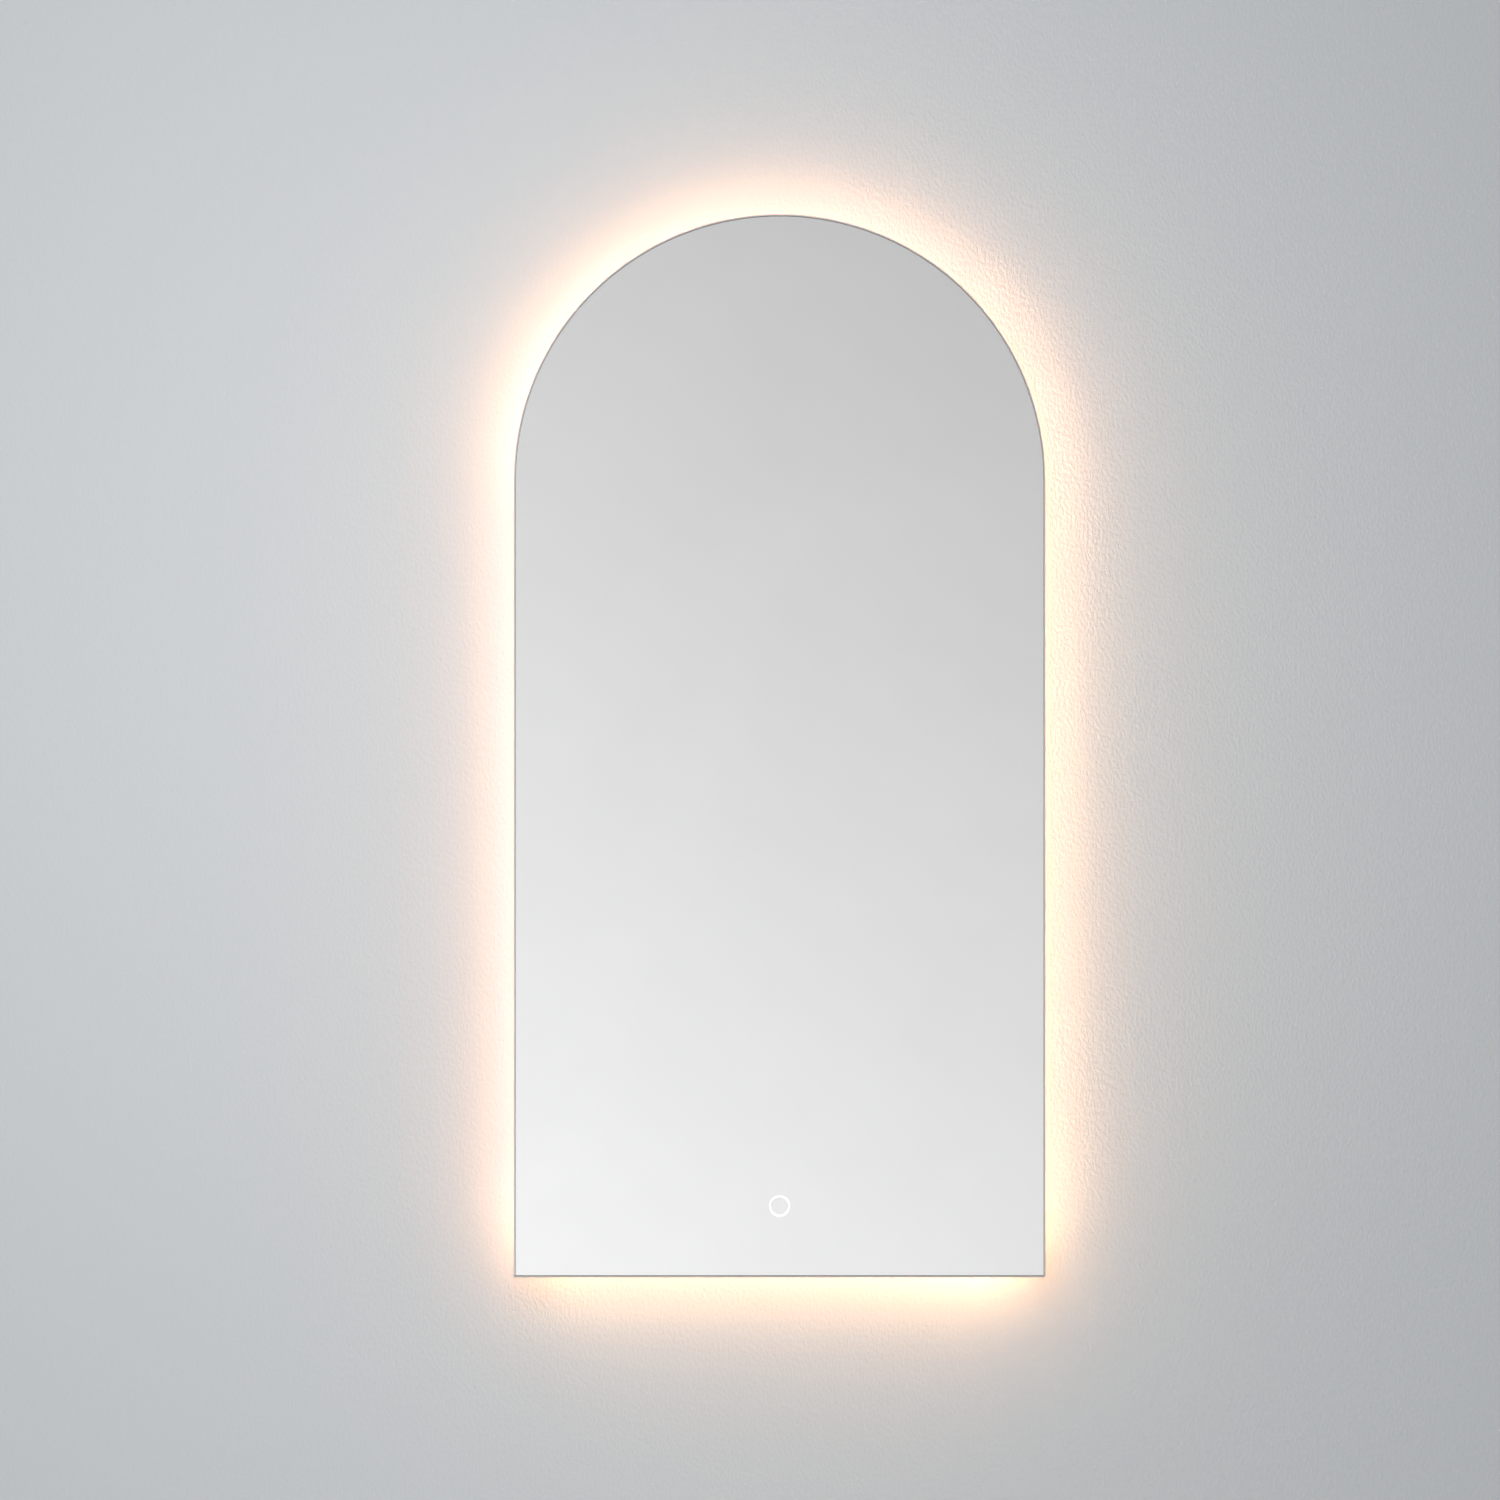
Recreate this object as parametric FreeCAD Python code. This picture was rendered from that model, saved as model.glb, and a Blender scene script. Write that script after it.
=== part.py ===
import FreeCAD
import Part
import math
import os
from FreeCAD import Vector

# Arched wall mirror, lit from behind, on a bevelled wall bar. Millimetres.
# Frame: +Z up, +X right as seen from the room, the room is on the -Y side, the wall face is y = 0.
# Origin: midway between the two screw holes of the wall bar, on the wall face.

# ---- glass ----
mirror_width = 500.0
mirror_height = 1000.0        # bottom edge to the crown of the half-round top
glass_thickness = 5.0
front_arris = 1.5             # ground and polished bevel round the front edge
rear_arris = 0.5
backing_thickness = 0.4       # silver, paint and safety film
backing_adhesive = 0.1

# ---- stack from the wall to the glass ----
wall_gap = 6.0                # wall to the chassis' rear face
chassis_depth = 26.0
tape_thickness = 1.0

# ---- chassis section ----
side_inset = 30.0             # glass edge to the diffuser's face, at the sides and the arch
bottom_inset = 28.0
sheet = 1.5                   # wall thickness of the chassis, crossbars and plates
front_flange = 12.0
rear_flange = 10.0
channel_depth = 7.0           # how far the light channel's ribs stand out
channel_width = 12.4          # clear width between the ribs
rib_thickness = 1.2
light_height = 15.0           # middle of the light channel, from the wall

# ---- light strips and diffusers ----
strip_width = 10.0
strip_thickness = 0.4
chip_length = 3.5
chip_width = 2.8
chip_height = 0.8
chip_pitch = 50.0 / 3.0       # sixty light chips to the metre
strip_end_gap = 16.0          # chassis corner to the end of a strip
diffuser_play = 0.2
diffuser_thickness = 1.5
diffuser_leg = 1.1
diffuser_leg_gap = 2.2        # strip face of the channel to the foot of a diffuser's leg

# ---- wall bar and hook bar ----
bar_thickness = 2.0
wall_bar_drop = 12.0          # screw line to the wall bar's lower edge
wall_bar_rise = 7.0           # screw line to the root of the lip, on the wall
lip_reach = 13.0              # how far the wall bar's lip stands out
wall_hole_spacing = 240.0
wall_hole_radius = 2.6
hook_play = 0.2               # between the two sloping lips
hook_wall_gap = 3.0           # hook lip's tip to the wall
hook_bar_length = 340.0
hook_bar_height = 24.0        # hook bar's flat flange
hook_screw_margin = 27.0      # hook bar's end to its outer screws
hook_screw_spacing = 80.0     # outer to inner screw, on each side
hook_face = 17.0              # wall to the crossbar face that carries the hook bar
cap_length = 9.5              # end cap, along the hook bar
cap_play = 0.5                # end cap to the wall bar's end

# ---- crossbars ----
upper_bar_height = 40.0
upper_bar_level = 38.0        # middle of the upper crossbar, above the screw line
spring_gap = 2.0              # upper crossbar to the foot of the arch
lower_bar_height = 30.0
lower_bar_rise = 261.0        # middle of the lower crossbar, above the mirror's bottom edge
bar_lip = 8.0                 # turned-in lips that are taped to the backing
bar_tape_gap = 40.0           # free way for wires, in the middle and beside each side member
rivet_radius = 2.0
rivet_spacing = 16.0
rivet_head_radius = 3.2
rivet_head_height = 1.2
rivet_tail_radius = 2.56

# ---- corner and splice plates, bumpers ----
corner_leg = 56.0
corner_screw_margin = 8.0     # end of the leg to its outer screw
corner_screw_spacing = 20.0
splice_length = 60.0
splice_width = 6.0
splice_screw_margin = 6.0
splice_screw_spacing = 13.0
bumper_radius = 7.0
bumper_taper = 1.0            # radius lost from foot to face
bumper_fillet = 0.8
bumper_offset = 19.0          # chassis corner to the bumper's centre, along each leg

# ---- small screws ----
screw_radius = 1.5
screw_length = 7.0            # under the head
screw_head_radius = 2.8
screw_head_height = 1.7
screw_recess = 0.7
recess_arm = 1.5
recess_width = 0.7
hole_play = 0.05              # radial clearance round screws and rivets

# ---- driver box ----
box_width = 210.0
box_height = 84.0
box_depth = 20.0
box_wall = 2.0
box_corner = 6.0
box_gap = 2.0                 # lower crossbar to the box
lid_thickness = 2.0
lid_lip = 1.5                 # how far the lid's lip reaches into the box
lid_lip_play = 0.2
boss_radius = 4.5
boss_overlap = 1.0            # how far a screw boss merges into the walls
boss_play = 0.3               # lid's lip to the bosses
ear_width = 16.0
ear_rise = 20.0
ear_thickness = 2.5
ear_spacing = 140.0
ear_screw_margin = 6.0        # ear's top edge to its screw
box_tape_width = 12.0
box_tape_inset = 15.0         # box edge to the middle of a tape strip
box_tape_end = 17.0           # box side to the end of a tape strip
driver_width = 120.0
driver_height = 46.0
driver_depth = 15.0
driver_fillet = 1.5
driver_offset = -20.0         # middle of the driver from the middle of the box
terminal_width = 30.0
terminal_height = 24.0
terminal_depth = 12.0
terminal_poles = 3
pole_pitch = 7.5
pole_depth = 7.0              # depth of a wire hole, and its screw's distance from the side
pole_bore = 1.9
pole_screw_bore = 2.2
pole_screw_depth = 3.0
terminal_gap = 15.0           # box's right wall to the terminal block
gland_bore = 3.3              # radius that a supply cable passes
gland_body = 5.5
gland_flange = 7.5
gland_lip = 1.5               # thickness of each of its two flanges
gland_inner = 2.0             # how far it reaches into the box
gland_length = 9.0
gland_offset = -17.0          # below the middle of the box

# ---- demister ----
pad_width = 260.0
pad_height = 300.0
pad_thickness = 0.3
pad_corner = 8.0
pad_gap = 24.0                # lower crossbar to the pad
element_thickness = 0.15
element_track = 3.0
element_pitch = 12.0
element_margin = 14.0

# ---- touch switch ----
ring_height = 67.0            # ring centre above the mirror's bottom edge
ring_radius = 9.1             # middle of the lit line
ring_stroke = 2.4
ring_play = 0.1
cover_width = 52.0
cover_height = 28.0
cover_depth = 11.0
cover_wall = 1.5
cover_corner = 3.0
cover_slot_play = 0.3         # round the wires that enter the cover
board_thickness = 1.2
board_corner = 1.0
board_play = 1.5
board_standoff = 3.3
post_radius = 1.8
post_inset = 6.0              # cover's side to a post
touch_light_count = 8
touch_light_size = 2.0
touch_light_height = 0.8
contact_radius = 4.0
lens_gap = 0.2                # ring lens to the board's lights

# ---- wires ----
wire_radius = 0.8
wire_pitch = 2.0
wire_bend = 6.0
feed_bend = 3.0               # inside the light channel
wire_hole = 2.6               # radius of the holes in the driver box
wire_play = 0.1
mains_lead_radius = 1.1
mains_lead_end = 4.0          # how far a lead goes into the terminal block
lead_height = 5.0             # floor to the lower wire of a pair
lead_reach = 1.2              # how far a lead's end goes past the cover's wall
switch_exit_drop = 12.0       # below the middle of the driver
demister_exit_rise = 12.0
demister_lead_gap = 13.0      # driver box to the demister's leads
demister_lead_spacing = 3.0
demister_lead_slope = 22.0    # height over which these leads come down to the backing
demister_lead_run = 10.0      # pad's edge to the bend towards the track's ends
solder_length = 3.0           # wire's end on its strip
clip_length = 8.0
clip_foot_width = 11.0
clip_foot = 1.2
clip_prong = 1.6
clip_rise = 0.8               # prongs past the upper wire
feed_clip_count = 2
feed_inset = 10.0             # chassis corner to the first feed grommet
feed_spacing = 10.0
feed_level_spacing = 12.0
feed_slope_rise = 8.0         # chassis bottom to where a feed turns down through its grommet
grommet_bore = 1.9
grommet_body = 3.2
grommet_flange = 4.4
grommet_lip = 0.8
grommet_gap = 1.0             # grommet to the end of the bottom strip

# ---- earth wire and lug ----
lug_ring = 4.0
lug_thickness = 1.0
lug_tongue = 0.3
lug_barrel = 1.15
lug_barrel_length = 8.0
earth_exit_rise = 30.0        # above the middle of the driver box
earth_offset = 17.0           # driver box to the earth wire
earth_rise = 2.0              # earth screw above the middle of the lower crossbar

# ---- places worked out from the sizes above ----
half_width = mirror_width / 2
spring_z = upper_bar_level + upper_bar_height / 2 + spring_gap
hang_height = mirror_height - half_width - spring_z      # screw line above the bottom edge
bottom_z = -hang_height
chassis_rear = -wall_gap
chassis_front = chassis_rear - chassis_depth
backing_rear = chassis_front - tape_thickness
backing_front = backing_rear - backing_thickness
glass_rear = backing_front - backing_adhesive
glass_front = glass_rear - glass_thickness
web_x = half_width - side_inset - channel_depth
web_z = bottom_z + bottom_inset + channel_depth
light_y = -light_height
ring_z = bottom_z + ring_height
hook_y = -hook_face
wall_bar_length = hook_bar_length - 2 * (cap_length + cap_play)
bar_front = chassis_front + sheet
lower_bar_level = bottom_z + lower_bar_rise
pad_bottom = lower_bar_level + lower_bar_height / 2 + pad_gap
box_top = lower_bar_level - lower_bar_height / 2 - box_gap
box_z = box_top - box_height / 2
box_front = backing_rear + tape_thickness
box_floor = box_front + box_wall
box_rim = box_front + box_depth
cover_floor = backing_rear + cover_depth - cover_wall
board_rear = cover_floor - board_standoff
board_front = board_rear - board_thickness
y_axis = Vector(0, 1, 0)


# ---- helpers ----
def box(low, high):
    return Part.makeBox(high[0] - low[0], high[1] - low[1], high[2] - low[2], Vector(*low))


def rod(start, direction, length, radius):
    return Part.makeCylinder(radius, length, Vector(*start), Vector(*direction))


def polygon(points):
    corners = [Vector(*point) for point in points]
    return Part.Face(Part.makePolygon(corners + corners[:1]))


def mirrored(shape):
    return shape.mirror(Vector(0, 0, 0), Vector(1, 0, 0))


def joined(shapes):
    first = shapes[0]
    return first.fuse(shapes[1:]).removeSplitter() if len(shapes) > 1 else first


def rounded_plate(width, height, radius, y, thickness, centre_z):
    """Upright plate with round corners, centred on x = 0, from y towards the wall."""
    x, z = width / 2, height / 2
    plate = box((-x, y, centre_z - z), (x, y + thickness, centre_z + z))
    upright = [edge for edge in plate.Edges if abs(edge.tangentAt(edge.FirstParameter).y) > 0.9]
    return plate.makeFillet(radius, upright)


def arch_face(y, inset):
    """The mirror's outline, drawn in by inset, in the plane at y."""
    x = half_width - inset
    low = bottom_z + inset
    corners = [Vector(-x, y, spring_z), Vector(-x, y, low), Vector(x, y, low), Vector(x, y, spring_z)]
    edges = [Part.LineSegment(corners[i], corners[i + 1]).toShape() for i in range(3)]
    edges.append(Part.Arc(corners[3], Vector(0, y, spring_z + x), corners[0]).toShape())
    return Part.Face(Part.Wire(edges))


def arch_plate(y, thickness, inset):
    return arch_face(y, inset).extrude(Vector(0, thickness, 0))


def above_mitre():
    """Everything above the right-hand bottom mitre, which runs down and out through the chassis corner."""
    reach = mirror_height
    corner = [(web_x - reach, 0, web_z + reach), (web_x + reach, 0, web_z - reach),
              (web_x + reach, 0, web_z + 2 * reach)]
    return polygon([(x, -reach, z) for x, y, z in corner]).extrude(Vector(0, 2 * reach, 0))


def side_run(section, low):
    """A section of (outward, y) points drawn up the right side, from low to the spring of the arch."""
    face = polygon([(web_x + out, y, low) for out, y in section])
    return face.extrude(Vector(0, 0, spring_z - low))


def mitred_side(section):
    reach = max(out for out, y in section)
    return side_run(section, web_z - reach - 1).common(above_mitre())


def mitred_bottom(section):
    reach = web_x + max(out for out, y in section) + 1
    face = polygon([(-reach, y, web_z - out) for out, y in section])
    run = face.extrude(Vector(2 * reach, 0, 0))
    corner = above_mitre()
    return run.cut([corner, mirrored(corner)])


def arch_run(section):
    face = polygon([(web_x + out, y, spring_z) for out, y in section])
    return face.revolve(Vector(0, 0, spring_z), Vector(0, 1, 0), -180)


def tube(points, bend=wire_bend, radius=wire_radius):
    """A round wire along straight runs with a round bend at each inner point."""
    corners = [Vector(*point) for point in points]
    edges = []
    start = corners[0]
    for i in range(1, len(corners) - 1):
        back = (corners[i - 1] - corners[i]).normalize()
        ahead = (corners[i + 1] - corners[i]).normalize()
        half_turn = (math.pi - back.getAngle(ahead)) / 2
        runs = [corners[i].distanceToPoint(other) for other in (corners[i - 1], corners[i + 1])]
        room = 0.45 * min(runs)
        setback = min(bend * math.tan(half_turn), room)
        enter = corners[i] + back * setback
        leave = corners[i] + ahead * setback
        bisector = (back + ahead).normalize()
        bend_radius = setback / math.tan(half_turn)
        depth = bend_radius / math.cos(half_turn) - bend_radius
        edges.append(Part.LineSegment(start, enter).toShape())
        edges.append(Part.Arc(enter, corners[i] + bisector * depth, leave).toShape())
        start = leave
    edges.append(Part.LineSegment(start, corners[-1]).toShape())
    direction = corners[1] - corners[0]
    circle = Part.Wire([Part.makeCircle(radius, corners[0], direction)])
    return Part.Wire(edges).makePipeShell([circle], True, False)


def shifted(points, shift):
    return [tuple(a + b for a, b in zip(point, shift)) for point in points]


def pan_screw(x, y, z, length=screw_length):
    """Screw with its head on the face at y, driven away from the wall, with a cross recess."""
    head = Part.makeCylinder(screw_head_radius, screw_head_height, Vector(x, y, z), y_axis)
    top_edge = [edge for edge in head.Edges if abs(edge.CenterOfMass.y - y - screw_head_height) < 1e-6]
    head = head.makeFillet(screw_head_height / 2, top_edge)
    blade = recess_width / 2
    top = y + screw_head_height + 1
    bottom = y + screw_head_height - screw_recess
    cross = [box((x - recess_arm, bottom, z - blade), (x + recess_arm, top, z + blade)),
             box((x - blade, bottom, z - recess_arm), (x + blade, top, z + recess_arm))]
    shank = rod((x, y, z), (0, -1, 0), length, screw_radius)
    return head.cut(cross).fuse(shank).removeSplitter()


def screw_holes(places, y, depth, radius=screw_radius + hole_play):
    """Round tools for holes at the (x, z) places, from y away from the wall."""
    return [rod((x, y, z), (0, -1, 0), depth, radius) for x, z in places]


# ---- sections, as (outward from the web's outer face, y) ----
rib_rear = light_y + channel_width / 2
rib_front = light_y - channel_width / 2
chassis_section = [
    (-rear_flange, chassis_rear), (0, chassis_rear),
    (0, rib_rear + rib_thickness), (channel_depth, rib_rear + rib_thickness),
    (channel_depth, rib_rear), (0, rib_rear),
    (0, rib_front), (channel_depth, rib_front),
    (channel_depth, rib_front - rib_thickness), (0, rib_front - rib_thickness),
    (0, chassis_front), (-front_flange, chassis_front),
    (-front_flange, bar_front), (-sheet, bar_front),
    (-sheet, chassis_rear - sheet), (-rear_flange, chassis_rear - sheet)]
half_diffuser = channel_width / 2 - diffuser_play
diffuser_section = [
    (channel_depth, light_y + half_diffuser), (channel_depth, light_y - half_diffuser),
    (diffuser_leg_gap, light_y - half_diffuser), (diffuser_leg_gap, light_y - half_diffuser + diffuser_leg),
    (channel_depth - diffuser_thickness, light_y - half_diffuser + diffuser_leg),
    (channel_depth - diffuser_thickness, light_y + half_diffuser - diffuser_leg),
    (diffuser_leg_gap, light_y + half_diffuser - diffuser_leg), (diffuser_leg_gap, light_y + half_diffuser)]
strip_section = [
    (0, light_y - strip_width / 2), (strip_thickness, light_y - strip_width / 2),
    (strip_thickness, light_y + strip_width / 2), (0, light_y + strip_width / 2)]
tape_section = [
    (-front_flange, backing_rear), (0, backing_rear), (0, chassis_front), (-front_flange, chassis_front)]

# ---- places of screws, rivets and wire holes ----
flange_middle = rear_flange / 2
side_screw_x = web_x - flange_middle
bottom_screw_z = web_z + flange_middle
corner_outer = corner_leg - corner_screw_margin
corner_reach = [corner_outer - corner_screw_spacing, corner_outer]
right_corner_screws = ([(side_screw_x, web_z + reach) for reach in corner_reach]
                       + [(web_x - reach, bottom_screw_z) for reach in corner_reach])
splice_outer = splice_length / 2 - splice_screw_margin
splice_reach = [splice_outer - splice_screw_spacing, splice_outer]
right_splice_screws = [(side_screw_x, spring_z + side * reach) for side in (-1, 1) for reach in splice_reach]
right_flange_screws = right_corner_screws + right_splice_screws
# heads clear the channel's rib and tails the crossbar's lip
rivet_y = (rib_front - rib_thickness - rivet_head_radius + bar_front + sheet + rivet_tail_radius) / 2
rivet_levels = [level + side * rivet_spacing / 2
                for level in (upper_bar_level, lower_bar_level) for side in (-1, 1)]
hook_flange_low = wall_bar_rise + hook_face + hook_play * math.sqrt(2)
hook_screw_z = hook_flange_low + hook_bar_height / 2
hook_outer = hook_bar_length / 2 - hook_screw_margin
hook_reach = [hook_outer - hook_screw_spacing, hook_outer]
hook_screws = [(side * reach, hook_screw_z) for side in (-1, 1) for reach in hook_reach]
ear_screws = [(side * ear_spacing / 2, box_top + ear_rise - ear_screw_margin) for side in (-1, 1)]
boss_inset = box_wall + boss_radius - boss_overlap
lid_screws = [(side * (box_width / 2 - boss_inset), box_z + up * (box_height / 2 - boss_inset))
              for side in (-1, 1) for up in (-1, 1)]
feed_xs = [web_x - feed_inset, web_x - feed_inset - feed_spacing]
bottom_strip_end = feed_xs[-1] - grommet_flange - grommet_gap

# ---- places of wires: each pair lies one wire above the other, away from the glass ----
driver_left = driver_offset - driver_width / 2
driver_right = driver_offset + driver_width / 2
boss_side = boss_inset + boss_radius - box_width / 2      # inner side of the left bosses
switch_lead_x = (driver_left + boss_side) / 2
switch_lead_y = box_front + lead_height
demister_exit_z = box_z + demister_exit_rise
demister_lead_x = -box_width / 2 - demister_lead_gap      # the outer one of the two
demister_lead_y = backing_rear + pad_thickness + element_thickness + wire_radius + wire_play / 2
gland_y = box_front + box_depth / 2
gland_z = box_z + gland_offset
terminal_levels = [gland_z + (i - (terminal_poles - 1) / 2) * pole_pitch for i in range(terminal_poles)]
terminal_right = box_width / 2 - box_wall - terminal_gap
terminal_left = terminal_right - terminal_width
mains_lead_y = box_floor + lead_height
earth_y = hook_y + lug_barrel + hole_play
earth_exit_z = box_z + earth_exit_rise
earth_x = box_width / 2 + earth_offset
earth_z = lower_bar_level + earth_rise
earth_screws = [(earth_x, earth_z)]
feed_levels = [ring_z + side * feed_level_spacing / 2 for side in (1, -1)]
element_reach = pad_width / 2 - element_margin
track_ends = [-element_reach, element_pitch - element_reach]  # left edges of the track's two ends
stacked = (0, wire_pitch, 0)


# ---- glass and backing ----
def make_glass():
    plate = arch_plate(glass_front, glass_thickness, 0)
    front_edges = [edge for edge in plate.Edges if edge.BoundBox.YMax < glass_front + 0.01]
    plate = plate.makeChamfer(front_arris, front_edges)
    rear_edges = [edge for edge in plate.Edges if edge.BoundBox.YMin > glass_rear - 0.01]
    return plate.makeChamfer(rear_arris, rear_edges)


def ring_tool(radius):
    return rod((0, backing_front - 1, ring_z), (0, 1, 0), backing_thickness + 2, radius)


def make_backing():
    sheet_plate = arch_plate(backing_front, backing_thickness, rear_arris)
    window = ring_tool(ring_radius + ring_stroke / 2).cut(ring_tool(ring_radius - ring_stroke / 2))
    return sheet_plate.cut(window)


# ---- chassis ----
def rivet_tools():
    return [rod((web_x - 2 * sheet - 1, rivet_y, z), (1, 0, 0), 3 * sheet + 2, rivet_radius + hole_play)
            for z in rivet_levels]


def flange_holes(places):
    return screw_holes(places, chassis_rear + 1, sheet + 2)


def make_side():
    return mitred_side(chassis_section).cut(flange_holes(right_flange_screws) + rivet_tools())


def make_arch():
    tools = flange_holes(right_splice_screws)
    return arch_run(chassis_section).cut(tools + [mirrored(tool) for tool in tools])


def make_bottom():
    tools = flange_holes(right_corner_screws)
    tools += [mirrored(tool) for tool in tools]
    tools += [rod((x, light_y, web_z - 1), (0, 0, 1), sheet + 2, grommet_body) for x in feed_xs]
    return mitred_bottom(chassis_section).cut(tools)


def make_bonding_tape():
    side = mitred_side(tape_section)
    return Part.makeCompound([side, mirrored(side), arch_run(tape_section), mitred_bottom(tape_section)])


def make_corner_plate():
    """Flat gusset on the rear flanges of the right-hand bottom corner."""
    points = [(0, 0), (-corner_leg, 0), (-corner_leg, rear_flange), (-rear_flange, corner_leg),
              (0, corner_leg)]
    face = polygon([(web_x + x, chassis_rear, web_z + z) for x, z in points])
    plate = face.extrude(Vector(0, sheet, 0))
    return plate.cut(screw_holes(right_corner_screws, chassis_rear + sheet + 1, sheet + 2))


def make_splice_plate():
    half = splice_width / 2
    plate = box((side_screw_x - half, chassis_rear, spring_z - splice_length / 2),
                (side_screw_x + half, chassis_rear + sheet, spring_z + splice_length / 2))
    return plate.cut(screw_holes(right_splice_screws, chassis_rear + sheet + 1, sheet + 2))


def make_chassis_screws():
    places = right_flange_screws + [(-x, z) for x, z in right_flange_screws]
    return Part.makeCompound([pan_screw(x, chassis_rear + sheet, z) for x, z in places])


def make_bumpers():
    rest = chassis_rear + sheet
    x, z = web_x - bumper_offset, web_z + bumper_offset
    pad = Part.makeCone(bumper_radius, bumper_radius - bumper_taper, -rest, Vector(x, rest, z), y_axis)
    rim = [edge for edge in pad.Edges if abs(edge.CenterOfMass.y) < 1e-6]
    pad = pad.makeFillet(bumper_fillet, rim)
    return Part.makeCompound([pad, mirrored(pad)])


# ---- crossbars ----
def make_crossbar(level, height, screws):
    """Channel with turned-in lips, closed by a tab at each end where it meets the side members."""
    length = web_x - sheet
    z = height / 2
    outer = [(hook_y, -z), (hook_y, z), (bar_front, z), (bar_front, z - bar_lip),
             (bar_front + sheet, z - bar_lip), (bar_front + sheet, z - sheet), (hook_y - sheet, z - sheet),
             (hook_y - sheet, sheet - z), (bar_front + sheet, sheet - z), (bar_front + sheet, bar_lip - z),
             (bar_front, bar_lip - z), (bar_front, -z)]
    face = polygon([(-length, y, level + up) for y, up in outer])
    bar = face.extrude(Vector(2 * length, 0, 0))
    tab = box((length - sheet, bar_front, level - z), (length, hook_y, level + z))
    bar = joined([bar, tab, mirrored(tab)])
    tools = rivet_tools()
    return bar.cut(tools + [mirrored(tool) for tool in tools] + screw_holes(screws, hook_y + 1, sheet + 2))


def make_crossbar_tape():
    """Foam pads between the crossbars' lips and the backing, with wire ways left open."""
    pads = []
    outer = web_x - front_flange - bar_tape_gap / 2
    for level, height in ((upper_bar_level, upper_bar_height), (lower_bar_level, lower_bar_height)):
        for edge in (-1, 1):
            middle = level + edge * (height / 2 - bar_lip / 2)
            pad = box((bar_tape_gap / 2, backing_rear, middle - bar_lip / 2),
                      (outer, bar_front, middle + bar_lip / 2))
            pads += [pad, mirrored(pad)]
    half = clip_foot_width / 2
    middle = demister_lead_x + demister_lead_spacing / 2
    wire_way = box((middle - half, backing_rear - 1, lower_bar_level - lower_bar_height),
                   (middle + half, bar_front + 1, lower_bar_level + lower_bar_height))
    return Part.makeCompound([solid for pad in pads for solid in pad.cut(wire_way).Solids])


def make_rivets():
    rivets = []
    for z in rivet_levels:
        shank = rod((web_x - 2 * sheet, rivet_y, z), (1, 0, 0), 2 * sheet, rivet_radius)
        head = rod((web_x, rivet_y, z), (1, 0, 0), rivet_head_height, rivet_head_radius)
        rim = [edge for edge in head.Edges if abs(edge.CenterOfMass.x - web_x - rivet_head_height) < 1e-6]
        head = head.makeFillet(rivet_head_height * 0.8, rim)
        tail = rod((web_x - 2 * sheet, rivet_y, z), (-1, 0, 0), rivet_head_height, rivet_tail_radius)
        rivet = joined([shank, head, tail])
        rivets += [rivet, mirrored(rivet)]
    return Part.makeCompound(rivets)


# ---- hanging bars: both lips slope at 45 degrees, out from the wall and up ----
def make_wall_bar():
    across = bar_thickness / math.sqrt(2)
    root = wall_bar_rise
    inner_root = root - bar_thickness * math.sqrt(2) + bar_thickness
    outline = [(0, -wall_bar_drop), (0, root), (-lip_reach, root + lip_reach),
               (-lip_reach - across, root + lip_reach - across), (-bar_thickness, inner_root),
               (-bar_thickness, -wall_bar_drop)]
    half = wall_bar_length / 2
    bar = polygon([(-half, y, z) for y, z in outline]).extrude(Vector(wall_bar_length, 0, 0))
    places = [(side * wall_hole_spacing / 2, 0) for side in (-1, 1)]
    return bar.cut(screw_holes(places, 1, bar_thickness + 2, wall_hole_radius))


def make_hook_bar():
    across = bar_thickness / math.sqrt(2)
    under = wall_bar_rise + hook_play * math.sqrt(2)          # y + z along the lip's underside
    over = under + bar_thickness * math.sqrt(2)
    rear = hook_y + bar_thickness
    top = hook_flange_low + hook_bar_height
    outline = [(-hook_wall_gap, under + hook_wall_gap),
               (-hook_wall_gap + across, under + hook_wall_gap + across),
               (rear, over - rear), (rear, top), (hook_y, top), (hook_y, under - hook_y)]
    half = hook_bar_length / 2
    bar = polygon([(-half, y, z) for y, z in outline]).extrude(Vector(hook_bar_length, 0, 0))
    return bar.cut(screw_holes(hook_screws, rear + 1, bar_thickness + 2))


def make_hook_caps():
    """Blocks under the hook lip, one beyond each end of the wall bar, so that the mirror hangs centred."""
    under = wall_bar_rise + hook_play * math.sqrt(2)
    low = wall_bar_rise
    outline = [(-hook_wall_gap, under + hook_wall_gap), (-hook_wall_gap, low),
               (hook_y, low), (hook_y, under - hook_y)]
    start = wall_bar_length / 2 + cap_play
    face = polygon([(start, y, z) for y, z in outline])
    cap = face.extrude(Vector(hook_bar_length / 2 - start, 0, 0))
    return Part.makeCompound([cap, mirrored(cap)])


def make_hook_screws():
    return Part.makeCompound([pan_screw(x, hook_y + bar_thickness, z) for x, z in hook_screws])


# ---- light strips ----
def make_loop_strip():
    side = side_run(strip_section, web_z + strip_end_gap)
    return joined([side, arch_run(strip_section), mirrored(side)])


def make_bottom_strip():
    face = polygon([(-bottom_strip_end, y, web_z - out) for out, y in strip_section])
    return face.extrude(Vector(2 * bottom_strip_end, 0, 0))


def placed_chip(middle, angle):
    """A light chip on the strip at middle, facing outward at the given angle from +X towards +Z."""
    chip = Part.makeBox(chip_height, chip_width, chip_length, Vector(0, -chip_width / 2, -chip_length / 2))
    chip.rotate(Vector(0, 0, 0), Vector(0, -1, 0), angle)
    chip.translate(Vector(*middle))
    return chip


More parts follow.
